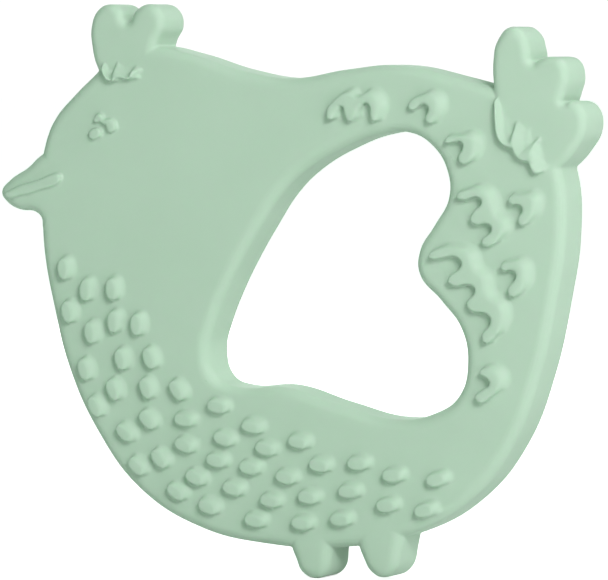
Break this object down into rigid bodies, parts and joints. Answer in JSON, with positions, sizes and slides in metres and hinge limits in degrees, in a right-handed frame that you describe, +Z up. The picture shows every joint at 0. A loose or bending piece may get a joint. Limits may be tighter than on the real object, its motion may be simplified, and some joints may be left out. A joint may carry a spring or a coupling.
{
  "type": "teething ring",
  "caption": "Flat one-piece silicone teething ring in the shape of a hen, with a curved hand opening and raised wing marks and knobs to chew on.",
  "frame": {"origin": "centre of the whole object's box", "axes": "+X from the beak to the tail, +Z up through the hen's height, and the relief on the front faces -Y"},
  "size_m": [0.1053, 0.011, 0.096],
  "materials": {
    "body_plate_silicone": "matte pale sage green silicone",
    "comb_silicone": "matte pale sage green silicone",
    "beak_silicone": "matte pale sage green silicone",
    "tail_silicone": "matte pale sage green silicone",
    "left_foot_silicone": "matte pale sage green silicone",
    "right_foot_silicone": "matte pale sage green silicone"
  },
  "bodies": {
    "root": {"body_plate": "body_plate_silicone", "comb": "comb_silicone", "beak": "beak_silicone", "tail": "tail_silicone", "left_foot": "left_foot_silicone", "right_foot": "right_foot_silicone"}
  },
  "joints": []
}
